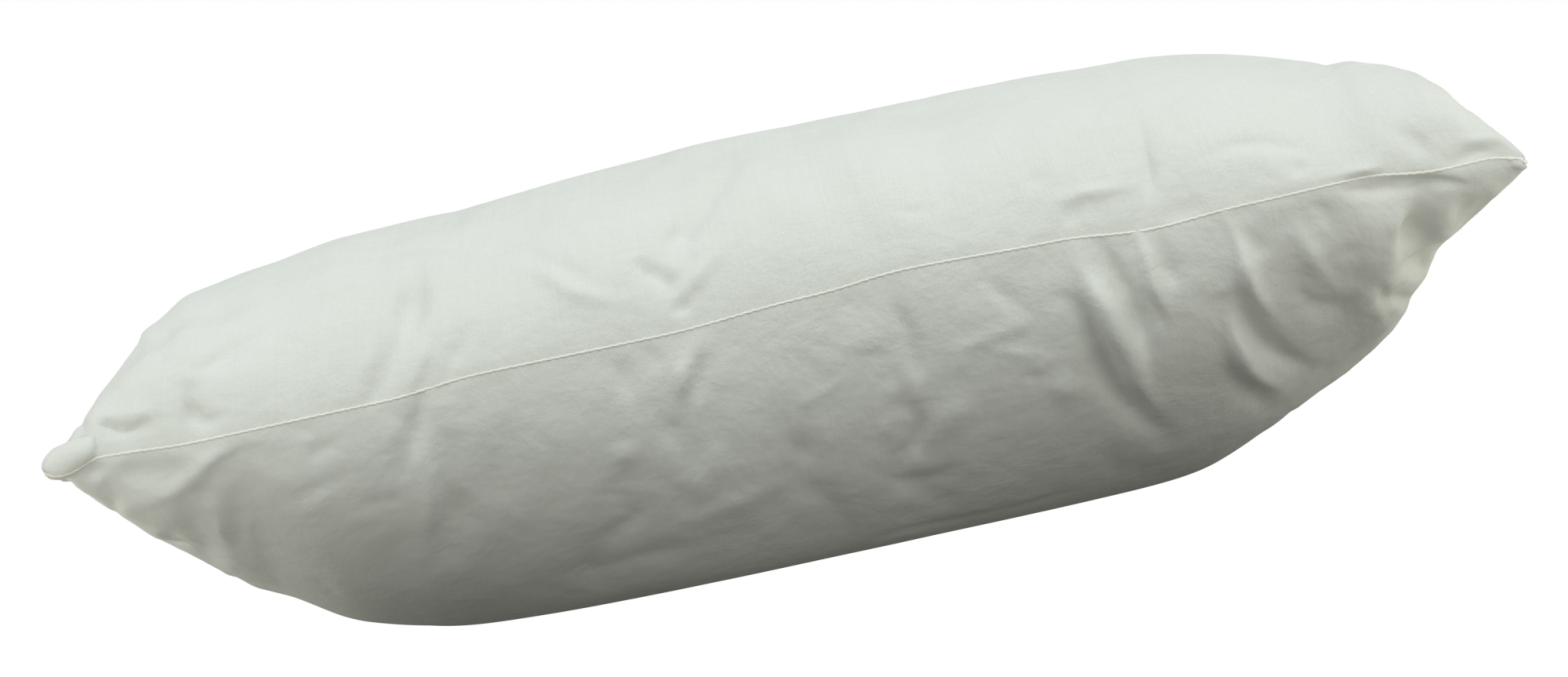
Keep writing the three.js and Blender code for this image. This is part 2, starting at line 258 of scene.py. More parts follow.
# The points of both panels again, as grids, from a sewn mesh
def readPanels(mesh, shape):
    count = shape[0] * shape[1]
    order = np.empty(len(mesh.vertices), np.int32)
    mesh.attributes['clothOrder'].data.foreach_get('value', order)
    points = readPoints(mesh)
    rim = rimVertices(mesh)
    panels = []
    for mine in (order < count, order >= count):
        panel = np.empty((count, 3))
        panel[order[mine] % count] = points[mine]
        panel[order[rim] % count] = points[rim]
        panels.append(panel.reshape(shape[0], shape[1], 3))
    return panels


# Smooth in-between rows of a grid, at fractional row numbers; the first and last rows stay
def rowsBetween(grid, at):
    padded = np.concatenate([2 * grid[:1] - grid[1:2], grid, 2 * grid[-1:] - grid[-2:-1]])
    k = np.clip(at.astype(int), 0, len(grid) - 2)
    t = (at - k)[:, None, None]
    a, b, c, d = padded[k], padded[k + 1], padded[k + 2], padded[k + 3]
    return (a * (1 - t) ** 3 + b * (4 - 6 * t ** 2 + 3 * t ** 3)
            + c * (1 + 3 * t + 3 * t ** 2 - 3 * t ** 3) + d * t ** 3) / 6


# The simulated cell that each fine row across lies on
def fineRows():
    fine = fineCloth
    return np.interp(np.arange(fine['acrossCells'][-1] + 1), fine['acrossCells'], fine['atSimulated'])


def finePanel(panel):
    along = np.linspace(0, filledForm['alongCells'], fineCloth['alongCells'] + 1)
    return rowsBetween(rowsBetween(panel, along).swapaxes(0, 1), fineRows()).swapaxes(0, 1)


# Folds. Each follows a smooth curve through the points of its path. wide is its half width in mm, or two
# of them, to the left and right of the way it runs. deep is how far it sinks in mm, and below 0 it stands
# out. A fold is soft, and crisp, up to 1, makes it sharp. The near side's paths are pixels of the
# photograph, from its top left corner.

nearFolds = [
    # left ear
    dict(path=((100, 609), (120, 601), (141, 586)), wide=(2, 2.5), deep=1.2),
    dict(path=((126, 528), (165, 531), (206, 519)), wide=(2.5, 2.2), deep=-1.4),
    dict(path=((118, 548), (130, 538), (156, 547), (180, 543), (218, 532)),
         wide=(1, 2.4), deep=2.5, crisp=0.4),
    dict(path=((232, 480), (240, 514), (250, 532), (268, 537), (300, 524)),
         wide=(2.4, 2.2), deep=2.8, crisp=0.2),
    dict(path=((220, 468), (238, 480), (258, 494)), wide=2, deep=-0.9),
    dict(path=((232, 480), (276, 460), (310, 440), (350, 416)), wide=(3, 2.4), deep=2.2, crisp=0.1),
    dict(path=((310, 440), (360, 408), (440, 376)), wide=(2.4, 2), deep=1.4, crisp=0.1),
    dict(path=((226, 446), (250, 434), (280, 432)), wide=3, deep=1.6),
    dict(path=((128, 596), (170, 603), (215, 599), (240, 582)), wide=4, deep=1.5),
    dict(path=((124, 622), (166, 644), (205, 635), (243, 611), (264, 590), (292, 574), (334, 556)),
         wide=(2.8, 2.4), deep=-1.5, crisp=0.1),
    dict(path=((240, 622), (260, 630), (248, 648)), wide=2.5, deep=1.1),
    dict(path=((196, 676), (226, 694), (270, 712)), wide=(2, 1.5), deep=0.9, crisp=0.1),
    dict(path=((300, 606), (299, 650), (304, 700), (308, 736)), wide=3.4, deep=1.1),
    dict(path=((280, 636), (281, 668), (283, 700)), wide=1.4, deep=-0.6),
    dict(path=((316, 636), (317, 672), (320, 706)), wide=1.4, deep=-0.6),
    # between the left ear and the middle
    dict(path=((438, 556), (414, 572), (386, 590)), wide=(2, 1.8), deep=0.7, crisp=0.1),
    dict(path=((370, 562), (390, 561), (410, 561)), wide=1, deep=-0.5, crisp=0.3),
    dict(path=((484, 586), (428, 611), (370, 637), (334, 654)), wide=(2.4, 2), deep=0.5, crisp=0.1),
    dict(path=((446, 630), (404, 644), (360, 664)), wide=2.8, deep=-0.4),
    dict(path=((456, 645), (490, 640), (524, 633)), wide=2, deep=0.6),
    dict(path=((434, 664), (460, 662), (486, 658)), wide=2.6, deep=-0.4),
    dict(path=((532, 316), (526, 370), (518, 416), (506, 466)), wide=(4.6, 4), deep=4.4),
    dict(path=((510, 410), (500, 456), (484, 492), (456, 534)), wide=2.8, deep=1.1),
    dict(path=((486, 390), (474, 450), (448, 520)), wide=(2.8, 3), deep=-0.6),
    dict(path=((548, 408), (538, 460), (516, 510)), wide=2, deep=-1.2),
    dict(path=((541, 474), (533, 530), (523, 578), (506, 622)), wide=(2.6, 2.4), deep=1.9, crisp=0.1),
    dict(path=((538, 500), (547, 580), (551, 650), (536, 712)), wide=3, deep=-1.5),
    dict(path=((508, 528), (500, 552), (492, 580)), wide=2, deep=-0.7),
    dict(path=((583, 400), (574, 470), (560, 522)), wide=3, deep=0.7),
    dict(path=((616, 404), (592, 438), (568, 476)), wide=2.6, deep=0.9),
    dict(path=((440, 350), (512, 318), (592, 314), (664, 322), (712, 338), (752, 358), (796, 374)),
         wide=(2.4, 2.6), deep=1.7),
    dict(path=((590, 328), (680, 342), (722, 368), (770, 382), (820, 390)), wide=2.4, deep=-1.6),
    dict(path=((572, 612), (588, 650), (598, 690)), wide=4, deep=0.8),
    # middle
    dict(path=((962, 190), (912, 240), (884, 276), (864, 300), (844, 332)), wide=(4, 3.6), deep=2.6),
    dict(path=((840, 294), (866, 298), (892, 302)), wide=2.6, deep=1.8),
    dict(path=((800, 328), (836, 350), (868, 374)), wide=(2, 2.6), deep=2.6, crisp=0.1),
    dict(path=((842, 326), (858, 342), (872, 358)), wide=1.8, deep=-0.9),
    dict(path=((936, 302), (902, 336), (884, 360), (850, 392)), wide=(2.6, 2.4), deep=-1.8, crisp=0.1),
    dict(path=((886, 380), (868, 394), (852, 404)), wide=1.8, deep=1.4, crisp=0.1),
    dict(path=((878, 322), (896, 314), (916, 306)), wide=2, deep=-0.6),
    dict(path=((932, 410), (902, 438), (881, 460), (872, 480), (868, 502), (856, 528)),
         wide=(2.4, 2.8), deep=-2.4, crisp=0.1),
    dict(path=((906, 434), (892, 458), (891, 486), (886, 520)), wide=(2.6, 2.2), deep=1.6, crisp=0.1),
    dict(path=((880, 526), (858, 552), (830, 572)), wide=3.6, deep=0.5),
    dict(path=((874, 652), (904, 604), (936, 562)), wide=5, deep=-1.1),
    dict(path=((742, 470), (786, 470), (800, 494), (800, 524)), wide=3.4, deep=0.7),
    dict(path=((772, 582), (800, 577), (828, 568)), wide=2.6, deep=-0.7),
    dict(path=((810, 446), (830, 456), (852, 464)), wide=2.2, deep=0.7),
    # right of the middle
    dict(path=((1012, 439), (1046, 441), (1082, 447)), wide=(1, 1.2), deep=0.7, crisp=0.3),
    dict(path=((1104, 464), (1080, 482), (1056, 497), (1024, 512), (990, 527)),
         wide=1.2, deep=-0.6, crisp=0.3),
    dict(path=((1070, 376), (1086, 392), (1106, 403)), wide=(1.2, 1.4), deep=0.7, crisp=0.2),
    dict(path=((1128, 384), (1146, 402), (1160, 432), (1170, 475), (1172, 506)),
         wide=(2.8, 2.6), deep=1.6, crisp=0.1),
    dict(path=((1136, 514), (1158, 520), (1172, 542), (1162, 568), (1122, 586)),
         wide=2.6, deep=1.5, crisp=0.1),
    dict(path=((1122, 500), (1138, 498), (1154, 494)), wide=2, deep=-0.5),
    dict(path=((1120, 534), (1130, 546), (1144, 558)), wide=2.4, deep=-0.5),
    dict(path=((1150, 592), (1168, 588), (1186, 584)), wide=2.2, deep=-0.5),
    dict(path=((1118, 602), (1152, 614), (1200, 606), (1242, 586)), wide=2.6, deep=0.8),
    dict(path=((998, 576), (1022, 574), (1048, 580)), wide=(3.6, 3), deep=0.5),
    dict(path=((1084, 457), (1120, 453), (1158, 449)), wide=(1, 1.2), deep=0.6, crisp=0.3),
    dict(path=((1232, 334), (1260, 360), (1288, 384), (1320, 401)), wide=(2, 1.8), deep=0.9, crisp=0.2),
    dict(path=((1190, 447), (1220, 447), (1256, 432), (1300, 417), (1350, 410)),
         wide=(2.2, 1.8), deep=-0.9, crisp=0.2),
    dict(path=((1250, 447), (1290, 450), (1328, 457)), wide=1.2, deep=-0.6, crisp=0.2),
    dict(path=((1300, 476), (1318, 480), (1338, 478)), wide=(1.2, 1.4), deep=0.8, crisp=0.1),
    dict(path=((1206, 466), (1224, 464), (1242, 460)), wide=1.6, deep=-0.7),
    dict(path=((1118, 259), (1168, 270), (1212, 255)), wide=(1.2, 1.4), deep=0.7, crisp=0.1),
    dict(path=((1326, 504), (1366, 496), (1404, 508)), wide=3.6, deep=-1.2),
    dict(path=((1172, 566), (1212, 532), (1260, 504)), wide=5, deep=-1.1),
    # great ridge that starts at the seam
    dict(path=((1356, 290), (1384, 350), (1408, 388), (1430, 436), (1449, 486), (1486, 524)),
         wide=(3.6, 3.8), deep=-4.8),
    dict(path=((1428, 416), (1446, 450), (1460, 492), (1490, 536)), wide=2.8, deep=-1.3),
    dict(path=((1394, 290), (1420, 340), (1442, 384), (1459, 430), (1470, 478)), wide=2.8, deep=3.8),
    dict(path=((1318, 392), (1356, 380), (1384, 402), (1404, 450), (1430, 502), (1468, 540), (1520, 560)),
         wide=(2.8, 4), deep=2.9),
    dict(path=((1444, 280), (1460, 328), (1472, 368), (1500, 416)), wide=(2.4, 2), deep=-3.2, crisp=0.1),
    dict(path=((1478, 300), (1488, 340), (1502, 380)), wide=(3.4, 2), deep=1.6),
    dict(path=((1454, 140), (1461, 200), (1466, 240), (1460, 290)), wide=(1.8, 1.6), deep=2.4, crisp=0.1),
    dict(path=((1326, 260), (1396, 246), (1466, 236)), wide=(2, 1.4), deep=-1.9, crisp=0.3),
    dict(path=((1362, 256), (1366, 274), (1368, 290)), wide=2.4, deep=1.2),
    dict(path=((1370, 175), (1400, 161), (1432, 152)), wide=(1.4, 1.6), deep=-0.8, crisp=0.1),
    dict(path=((1298, 232), (1322, 230), (1346, 226)), wide=2.6, deep=0.9),
    dict(path=((1468, 276), (1504, 270), (1544, 258)), wide=1.8, deep=0.7),
    # right part
    dict(path=((1528, 200), (1580, 184), (1630, 184), (1690, 198)), wide=1.8, deep=1.6, crisp=0.1),
    dict(path=((1640, 206), (1656, 214), (1666, 226)), wide=2, deep=1.1),
    dict(path=((1626, 138), (1652, 128), (1680, 124)), wide=2, deep=0.8),
    dict(path=((1552, 250), (1578, 308), (1590, 350), (1608, 384), (1648, 424)),
         wide=(2.6, 2), deep=-3.6, crisp=0.1),
    dict(path=((1572, 356), (1588, 402), (1610, 434), (1644, 460), (1712, 476)),
         wide=(3.4, 3), deep=4.6, crisp=0.1),
    dict(path=((1560, 380), (1578, 440), (1602, 476), (1652, 504)), wide=2.8, deep=-3.8),
    dict(path=((1556, 440), (1576, 484), (1608, 512), (1648, 524)), wide=3.4, deep=1.6),
    dict(path=((1642, 268), (1670, 320), (1684, 346), (1716, 374)), wide=3.2, deep=-2),
    dict(path=((1644, 356), (1674, 388), (1708, 393), (1744, 368)), wide=(3, 3.4), deep=2.2),
    dict(path=((1698, 327), (1722, 320), (1754, 316)), wide=(1.8, 1.6), deep=0.5),
    dict(path=((1708, 350), (1732, 354), (1756, 364)), wide=2.6, deep=0.4),
    dict(path=((1578, 288), (1600, 310), (1614, 334)), wide=2.6, deep=1),
    dict(path=((1666, 252), (1690, 272), (1702, 294)), wide=2.4, deep=0.7),
    dict(path=((1528, 374), (1558, 370), (1586, 366)), wide=(1, 1.2), deep=-0.6, crisp=0.3),
    # right ear
    dict(path=((1698, 227), (1732, 219), (1782, 214)), wide=(1.6, 1.4), deep=-1.1),
    dict(path=((1712, 231), (1748, 223), (1790, 219)), wide=1, deep=0.7),
    dict(path=((1766, 158), (1792, 172), (1815, 190), (1822, 208)), wide=2.4, deep=1.2),
    dict(path=((1816, 186), (1864, 181), (1904, 179), (1930, 187), (1944, 204)),
         wide=(1.6, 1.2), deep=-1.4, crisp=0.2),
    dict(path=((1826, 213), (1862, 204), (1886, 193), (1926, 199)), wide=1.4, deep=1.4, crisp=0.1),
    dict(path=((1700, 241), (1740, 240), (1790, 232), (1840, 230), (1896, 240)),
         wide=(1.2, 3), deep=3.2, crisp=0.1),
    dict(path=((1796, 250), (1783, 288), (1778, 320), (1772, 364)), wide=(2, 3.4), deep=-1.8),
    dict(path=((1812, 252), (1797, 286), (1792, 316), (1794, 350)), wide=(5.4, 2), deep=3.6),
    dict(path=((1862, 238), (1842, 272), (1822, 302)), wide=2.6, deep=-0.7),
    dict(path=((1884, 250), (1866, 266), (1846, 288)), wide=2.2, deep=0.7),
    dict(path=((1782, 344), (1806, 338), (1838, 316)), wide=1.2, deep=3, crisp=0.4),
    dict(path=((1780, 362), (1800, 360), (1826, 340)), wide=3, deep=-1),
    dict(path=((1764, 386), (1790, 384), (1812, 372)), wide=1.6, deep=1.4),
    dict(path=((1756, 350), (1766, 380), (1772, 412)), wide=2.4, deep=1.5),
    # low down, where the cloth meets the floor
    dict(path=((700, 742), (830, 708), (980, 672)), wide=2.4, deep=0.9),
    dict(path=((820, 690), (940, 640), (1040, 604)), wide=3, deep=-0.9),
    dict(path=((760, 690), (800, 668), (836, 640)), wide=2.4, deep=0.7),
    dict(path=((1060, 694), (1200, 668), (1312, 644), (1410, 608)), wide=(1.4, 1.6), deep=1.2, crisp=0.2),
]

# The folds of the sides that don't show. Their paths are mm in two axes of the frame, which sideAxes names
hiddenFolds = {
    'far': [
        dict(path=((-176, 110), (-166, 70), (-178, 28)), wide=7, deep=3.0, crisp=0.1),
        dict(path=((-162, 100), (-154, 66), (-160, 36)), wide=8, deep=-2.4),
        dict(path=((-96, 112), (-108, 72), (-98, 30)), wide=7, deep=2.8, crisp=0.1),
        dict(path=((-84, 100), (-94, 64), (-80, 40)), wide=8, deep=-2.2),
        dict(path=((-26, 104), (-14, 66), (-34, 34)), wide=7, deep=2.6, crisp=0.1),
        dict(path=((50, 116), (34, 74), (52, 32)), wide=7, deep=3.2, crisp=0.1),
        dict(path=((62, 96), (48, 64), (64, 40)), wide=8, deep=-2.6),
        dict(path=((112, 104), (124, 66), (108, 26)), wide=7, deep=3.0, crisp=0.1),
        dict(path=((176, 98), (164, 64), (182, 32)), wide=7, deep=3.2, crisp=0.1),
        dict(path=((188, 90), (178, 62), (194, 40)), wide=7, deep=-2.6),
        dict(path=((-236, 70), (-212, 82), (-184, 78)), wide=6, deep=3.0, crisp=0.1),
        dict(path=((236, 66), (214, 56), (188, 58)), wide=6, deep=3.0, crisp=0.1),
    ],
    'crown': [
        dict(path=((-226, -122), (-190, -98), (-158, -92)), wide=9, deep=2.6),
        dict(path=((-224, 122), (-188, 92), (-150, 84)), wide=8, deep=3.0, crisp=0.1),
        dict(path=((-212, 96), (-186, 66), (-166, 60)), wide=9, deep=-2.2),
        dict(path=((226, 122), (186, 94), (148, 88)), wide=8, deep=3.0, crisp=0.1),
        dict(path=((206, 88), (184, 72), (158, 70)), wide=9, deep=-2.2),
        dict(path=((20, 96), (46, 70), (96, 74)), wide=9, deep=2.0, crisp=0.1),
    ],
    'base': [
        dict(path=((-222, -120), (-182, -96), (-140, -84)), wide=9, deep=1),
        dict(path=((-222, 120), (-184, 90), (-146, 74)), wide=9, deep=2.8),
        dict(path=((222, 120), (184, 92), (142, 80)), wide=9, deep=2.8),
        dict(path=((222, -120), (190, -84), (150, -70)), wide=9, deep=1),
    ],
    'leftEnd': [
        dict(path=((-92, 112), (-84, 76), (-96, 40)), wide=8, deep=2.6),
        dict(path=((-42, 118), (-28, 74), (-44, 32)), wide=7, deep=3.0, crisp=0.1),
        dict(path=((-26, 100), (-14, 72), (-28, 44)), wide=8, deep=-2.2),
        dict(path=((34, 114), (24, 70), (40, 30)), wide=7, deep=3.0, crisp=0.1),
        dict(path=((88, 100), (96, 66), (84, 34)), wide=8, deep=2.6),
    ],
    'rightEnd': [
        dict(path=((-88, 108), (-96, 72), (-84, 38)), wide=7, deep=3.0, crisp=0.1),
        dict(path=((-34, 120), (-46, 72), (-30, 34)), wide=8, deep=2.6),
        dict(path=((14, 112), (26, 68), (12, 36)), wide=7, deep=3.0, crisp=0.1),
        dict(path=((28, 98), (40, 66), (28, 42)), wide=8, deep=-2.4),
        dict(path=((78, 104), (66, 66), (82, 34)), wide=8, deep=2.8),
    ],
}

# The two axes that each hidden side's folds are drawn in, and the way the side faces
sideAxes = {
    'far': {'axes': (0, 2), 'facing': (0, 1, 0)},
    'crown': {'axes': (0, 1), 'facing': (0, 0, 1)},
    'base': {'axes': (0, 1), 'facing': (0, 0, -1)},
    'leftEnd': {'axes': (1, 2), 'facing': (-1, 0, 0)},
    'rightEnd': {'axes': (1, 2), 'facing': (1, 0, 0)},
}

foldShape = {
    'steps': 5,              # straight pieces of the curve between two points of a path
    'reach': 3,              # widths beyond which a fold isn't felt
    'endFade': 0.45,         # share of its length over which a fold runs out at either end
    'endWidth': 0.6,         # and how wide it still is there
    'body': 0.85,            # share of a soft fold that is as wide as its row says
    'skirt': 0.15,           # and share that spreads further, over this many widths
    'skirtWidth': 2.3,
    'sharpness': 1.6,        # of a crisp fold
    'uneven': 0.2,           # how much the depth wavers along a fold, and how often
    'waves': 9,
    'facingFade': 0.3,       # how fast a fold fades where the cloth turns away from its side
    'beforeCreasing': 0.3,   # shares of the depth that are pressed in before and after the cloth creases
    'afterCreasing': 0.85,
}

# mm, and degrees for the roll; nearPlane is the upright plane through the near seam
cameraPlace = {'x': -1.6, 'y': -2200, 'z': 74, 'roll': 12, 'halfView': 0.12027, 'sensorWidth': 36,
               'nearPlane': -141}
photoSize = (2000, 863)


# Where a point of the near side appears on that plane
def seenFromFront(points):
    far = points[:, 1] - cameraPlace['y']
    share = (cameraPlace['nearPlane'] - cameraPlace['y']) / far
    x = cameraPlace['x'] + (points[:, 0] - cameraPlace['x']) * share
    z = cameraPlace['z'] + (points[:, 2] - cameraPlace['z']) * share
    return np.stack([x, z], -1)


# Its points, in mm, for pixels of the photograph
def fromPhoto(pixels):
    mmEach = cameraPlace['halfView'] * (cameraPlace['nearPlane'] - cameraPlace['y']) * 2 / photoSize[0]
    offset = (np.array(pixels, float) - np.array(photoSize) / 2) * mmEach
    roll = radians(cameraPlace['roll'])
    x = cameraPlace['x'] + offset[:, 0] * cos(roll) - offset[:, 1] * sin(roll)
    z = cameraPlace['z'] - offset[:, 0] * sin(roll) - offset[:, 1] * cos(roll)
    return np.stack([x, z], -1)


# A smooth curve through the points of a path
def foldCurve(knots):
    padded = np.vstack([2 * knots[0] - knots[1], knots, 2 * knots[-1] - knots[-2]])
    t = np.linspace(0, 1, foldShape['steps'], endpoint=False)[:, None]
    curve = []
    for k in range(len(knots) - 1):
        a, b, c, d = padded[k:k + 4]
        curve.append(b + 0.5 * t * (c - a + t * (2 * a - 5 * b + 4 * c - d + t * (3 * (b - c) + d - a))))
    return np.vstack(curve + [knots[-1:]])


def foldDepth(places, path, fold):
    shape = foldShape
    curve = foldCurve(path)
    wide = np.broadcast_to(fold['wide'], 2)
    reach = shape['reach'] * max(wide)
    inside = np.all((places > curve.min(0) - reach) & (places < curve.max(0) + reach), axis=1)
    near = np.where(inside)[0]
    step = np.diff(curve, axis=0)
    offset = places[near][:, None, :] - curve[:-1][None]
    along = np.clip((offset * step).sum(2) / (step ** 2).sum(1), 0, 1)
    distance = np.linalg.norm(offset - along[..., None] * step, axis=2)
    k = distance.argmin(1)
    row = np.arange(len(near))
    distance = distance[row, k]
    share = (k + along[row, k]) / len(step)
    leftOf = step[k, 0] * offset[row, k, 1] > step[k, 1] * offset[row, k, 0]
    ends = smoothStep(np.minimum(share, 1 - share) / shape['endFade'])
    width = np.where(leftOf, wide[0], wide[1]) * (shape['endWidth'] + (1 - shape['endWidth']) * ends)
    soft = shape['body'] * np.exp(-(distance / width) ** 2)
    soft += shape['skirt'] * np.exp(-(distance / width / shape['skirtWidth']) ** 2)
    sharp = np.exp(-shape['sharpness'] * distance / width)
    uneven = 1 + shape['uneven'] * np.sin(share * shape['waves'] + path[0, 0])
    depth = np.zeros(len(places))
    depth[near] = fold['deep'] * uneven * ends * (soft + fold.get('crisp', 0) * (sharp - soft))
    return depth


def foldCover(points, normals, share):
    fade = foldShape['facingFade']
    places = seenFromFront(points)
    depth = sum(foldDepth(places, fromPhoto(fold['path']), fold) for fold in nearFolds)
    depth *= smoothStep(-normals[:, 1] / fade)
    for side, folds in hiddenFolds.items():
        axes = sideAxes[side]['axes']
        facing = smoothStep(normals @ np.array(sideAxes[side]['facing'], float) / fade)
        for fold in folds:
            depth += facing * foldDepth(points[:, axes], np.array(fold['path'], float), fold)
    folded = points - normals * (share * depth)[:, None]
    folded[:, 2] = np.maximum(folded[:, 2], 0)
    return folded


# The left ear ends in a plump rolled fold and the right one in a small round tip. Skin within round radii of
# the axis is drawn to one radius, and beyond reach radii it is left alone
earRolls = [
    {'start': (-234.4, -136.8, 83.2), 'end': (-227, -134.5, 86), 'radius': 5.6, 'round': 1.4, 'reach': 1.8},
    {'start': (237.4, -138.4, 79.9), 'end': (236.2, -138, 80.4), 'radius': 1.8, 'round': 1.5, 'reach': 3},
]


def puffRoll(points, roll):
    start = np.array(roll['start'], float)
    axis = np.array(roll['end'], float) - start
    along = np.clip((points - start) @ axis / (axis @ axis), 0, 1)
    offset = points - start - along[:, None] * axis
    distance = np.linalg.norm(offset, axis=1)
    share = distance / roll['radius']
    pull = 1 - smoothStep((share - roll['round']) / (roll['reach'] - roll['round']))
    points += offset * (pull * (1 / np.maximum(share, 0.05) - 1))[:, None]       # 0.05 spares the axis itself
    return points


# Stretches of the outline where the cloth is folded flat and its edge is sharp. Pixels of the photograph,
# each path running so that the cushion lies on its left. In mm: reach is how far in the skin gives way,
# fade how long either end of the path takes to let go
pressedEdges = [
    dict(path=((88, 615), (136, 647), (198, 686), (212, 692), (240, 705), (300, 738)), reach=9, fade=(3, 3)),
    dict(path=((1646, 527), (1682, 500), (1718, 475), (1753, 445), (1775, 424), (1792, 400), (1801, 377),
               (1820, 352), (1832, 320), (1909, 250), (1936, 225), (1946, 216), (1949, 211)), reach=9,
         fade=(3, 0.5)),
    dict(path=((1949, 208), (1946, 200), (1937, 190), (1918, 174), (1888, 151), (1872, 138)), reach=7,
         fade=(0.5, 3)),
    dict(path=((184, 427), (153, 469), (126, 504), (108, 532), (101, 545)), reach=7, fade=(3, 3)),
]
pressSlice = 1.4             # mm of outline that are set together


# Shifts the skin beside the path so that the outline lies on it
def pressEdge(points, edge):
    places = seenFromFront(points)
    knots = fromPhoto(edge['path'])
    step = np.diff(knots, axis=0)
    length = np.linalg.norm(step, axis=1)
    run = length.cumsum()
    outward = np.stack([step[:, 1], -step[:, 0]], -1) / length[:, None]
    offset = places[:, None, :] - knots[:-1][None]
    along = np.clip((offset * step).sum(2) / length ** 2, 0, 1)
    nearest = ((offset - along[..., None] * step) ** 2).sum(2).argmin(1)
    row = np.arange(len(places))
    beyond = (offset[row, nearest] * outward[nearest]).sum(1)
    at = run[nearest] - length[nearest] * (1 - along[row, nearest])
    beside = np.where((at > 0) & (at < run[-1]) & (beyond > -edge['reach']))[0]
    beyond = beyond[beside]
    at = at[beside]
    furthest = np.full(int(run[-1] / pressSlice) + 1, -edge['reach'] / 2)
    np.maximum.at(furthest, (at / pressSlice).astype(int), beyond)
    excess = np.interp(at, (np.arange(len(furthest)) + 0.5) * pressSlice, furthest)
    give = smoothStep(1 + (beyond - excess) / edge['reach'])
    give *= smoothStep(at / edge['fade'][0]) * smoothStep((run[-1] - at) / edge['fade'][1])
    for axis, column in ((0, 0), (2, 1)):
        points[beside, axis] -= excess * give * np.interp(at, run - length / 2, outward[:, column])
    return points


# The cloth is a little larger than the form and is blown up from inside, so it wrinkles
creasing = {
    'spare': 0.03,           # how much larger the cloth is, as a share
    'pressure': 4,
    'mass': 0.2,
    'stretch': 25,
    'shear': 8,
    'bend': 0.15,
    'quality': 6,
    'frames': 20,
    'evenOut': 60,           # rounds of averaging that tell swelling from wrinkles
    'keepSwelling': 0.15,    # share of the swelling that stays, away from the near side
    'cap': 5,                # mm that a point may move
    'touchHeight': 0.5,      # below this it is held, and below the next it moves less, near the floor
    'calmHeight': 16,
    'nearShare': 0.6,        # share of the wrinkles on the near side, which has its own folds
}


def averageOver(pairs, values, rounds):
    count = np.bincount(pairs.ravel(), minlength=len(values))[:, None]
    for _ in range(rounds):
        total = np.zeros_like(values)
        for axis in range(values.shape[1]):
            total[:, axis] = (np.bincount(pairs[:, 0], values[pairs[:, 1], axis], len(values))
                              + np.bincount(pairs[:, 1], values[pairs[:, 0], axis], len(values)))
        values = 0.5 * values + 0.5 * total / count
    return values


def creaseCloth(cloth):
    mesh = cloth.data
    start = readPoints(mesh)
    facingNear = smoothStep(-readNormals(mesh)[:, 1:2] / foldShape['facingFade'])
    held = cloth.vertex_groups.new(name='held')
    held.add([int(v) for v in rimVertices(mesh)], 1, 'REPLACE')
    held.add([int(v) for v in np.where(start[:, 2] < creasing['touchHeight'])[0]], 1, 'REPLACE')
    blowing = cloth.modifiers.new('blowing', 'CLOTH')
    blowing.settings.vertex_group_mass = 'held'
    blowing.settings.quality = creasing['quality']
    blowing.settings.mass = creasing['mass']
    blowing.settings.tension_stiffness = creasing['stretch']
    blowing.settings.compression_stiffness = creasing['stretch']
    blowing.settings.shear_stiffness = creasing['shear']
    blowing.settings.bending_stiffness = creasing['bend']
    blowing.settings.shrink_min = -creasing['spare']
    blowing.settings.use_pressure = True
    blowing.settings.uniform_pressure_force = creasing['pressure']
    blowing.settings.effector_weights.gravity = 0
    blowing.collision_settings.use_collision = False
    blowing.collision_settings.use_self_collision = False
    blowing.point_cache.frame_end = creasing['frames']
    for step in range(1, creasing['frames'] + 1):
        bpy.context.scene.frame_set(step)
    applyModifier(cloth, blowing)
    bpy.context.scene.frame_set(1)
    moved = readPoints(mesh) - start
    pairs = edgePairs(mesh)
    swelling = averageOver(pairs, moved, creasing['evenOut'])
    moved -= (1 - creasing['keepSwelling'] * (1 - facingNear)) * swelling
    besideSeam = np.zeros((len(start), 1))
    besideSeam[rimVertices(mesh)] = 1
    besideSeam = averageOver(pairs, besideSeam, creasing['evenOut'])
    besideSeam = np.sqrt(besideSeam / besideSeam.max())
    length = np.linalg.norm(moved, axis=1)[:, None]
    moved *= creasing['cap'] * np.tanh(length / creasing['cap']) / (length + 0.000001)   # never by 0
    moved *= smoothStep(start[:, 2:] / creasing['calmHeight'])
    moved *= 1 - facingNear * (1 - creasing['nearShare'] * (1 - besideSeam))
    points = start + moved
    points[:, 2] = np.maximum(points[:, 2], 0)
    writePoints(mesh, points)
    print('creased by', round(float(np.linalg.norm(moved, axis=1).mean()), 2), 'mm on average')


def buildCover():
    upper, under = filledPanels()
    evenRows = np.linspace(0, 1, filledForm['acrossCells'] + 1)
    cloth = sewPanels('blownCloth', upper, under, evenRows)
    mesh = cloth.data
    for roll in earRolls:
        writePoints(mesh, puffRoll(readPoints(mesh), roll))
    writePoints(mesh, foldCover(readPoints(mesh), readNormals(mesh), foldShape['beforeCreasing']))
    creaseCloth(cloth)
    upper, under = readPanels(mesh, upper.shape)
    bpy.data.objects.remove(cloth)
    acrossShare = fineRows() / filledForm['acrossCells']
    cover = sewPanels('cushionCover', finePanel(upper), finePanel(under), acrossShare)
    mesh = cover.data
    share = foldShape['afterCreasing']
    writePoints(mesh, foldCover(readPoints(mesh), readNormals(mesh), share))
    for edge in pressedEdges:
        writePoints(mesh, pressEdge(readPoints(mesh), edge))
    pickOnly(cover)
    bpy.ops.object.shade_smooth()
    print('cover', len(mesh.polygons), 'faces')
    return cover


cover = buildCover()

# Edge seam: a fine rope-like ridge of thread and turned cotton that runs all round

